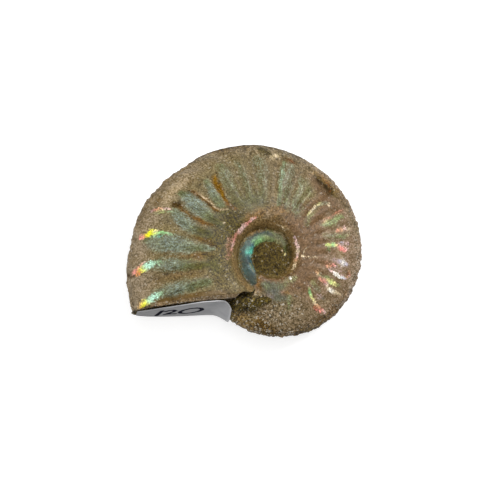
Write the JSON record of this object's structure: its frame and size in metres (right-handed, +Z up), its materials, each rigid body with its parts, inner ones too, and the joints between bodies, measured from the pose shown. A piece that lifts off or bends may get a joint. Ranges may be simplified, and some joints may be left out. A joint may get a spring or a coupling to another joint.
{
  "type": "iridescent ammonite fossil with paper label",
  "caption": "Ribbed planispiral ammonite fossil with an iridescent shell, lying on its flank, with a paper label stuck across its broken end.",
  "frame": {"origin": "under the middle of the object's box, on the surface that it lies on", "axes": "+X across the coil, away from the broad broken end; +Y towards the top of the coil as it is shown; +Z up, out of the upper flank"},
  "size_m": [0.05, 0.0408, 0.0162],
  "materials": {
    "shell": "polished nacre, iridescent, with duller rock in its hollows",
    "label_paper": "coated paper, satin"
  },
  "bodies": {
    "root": {"ammonite": "shell", "paper_label": "label_paper"}
  },
  "joints": []
}
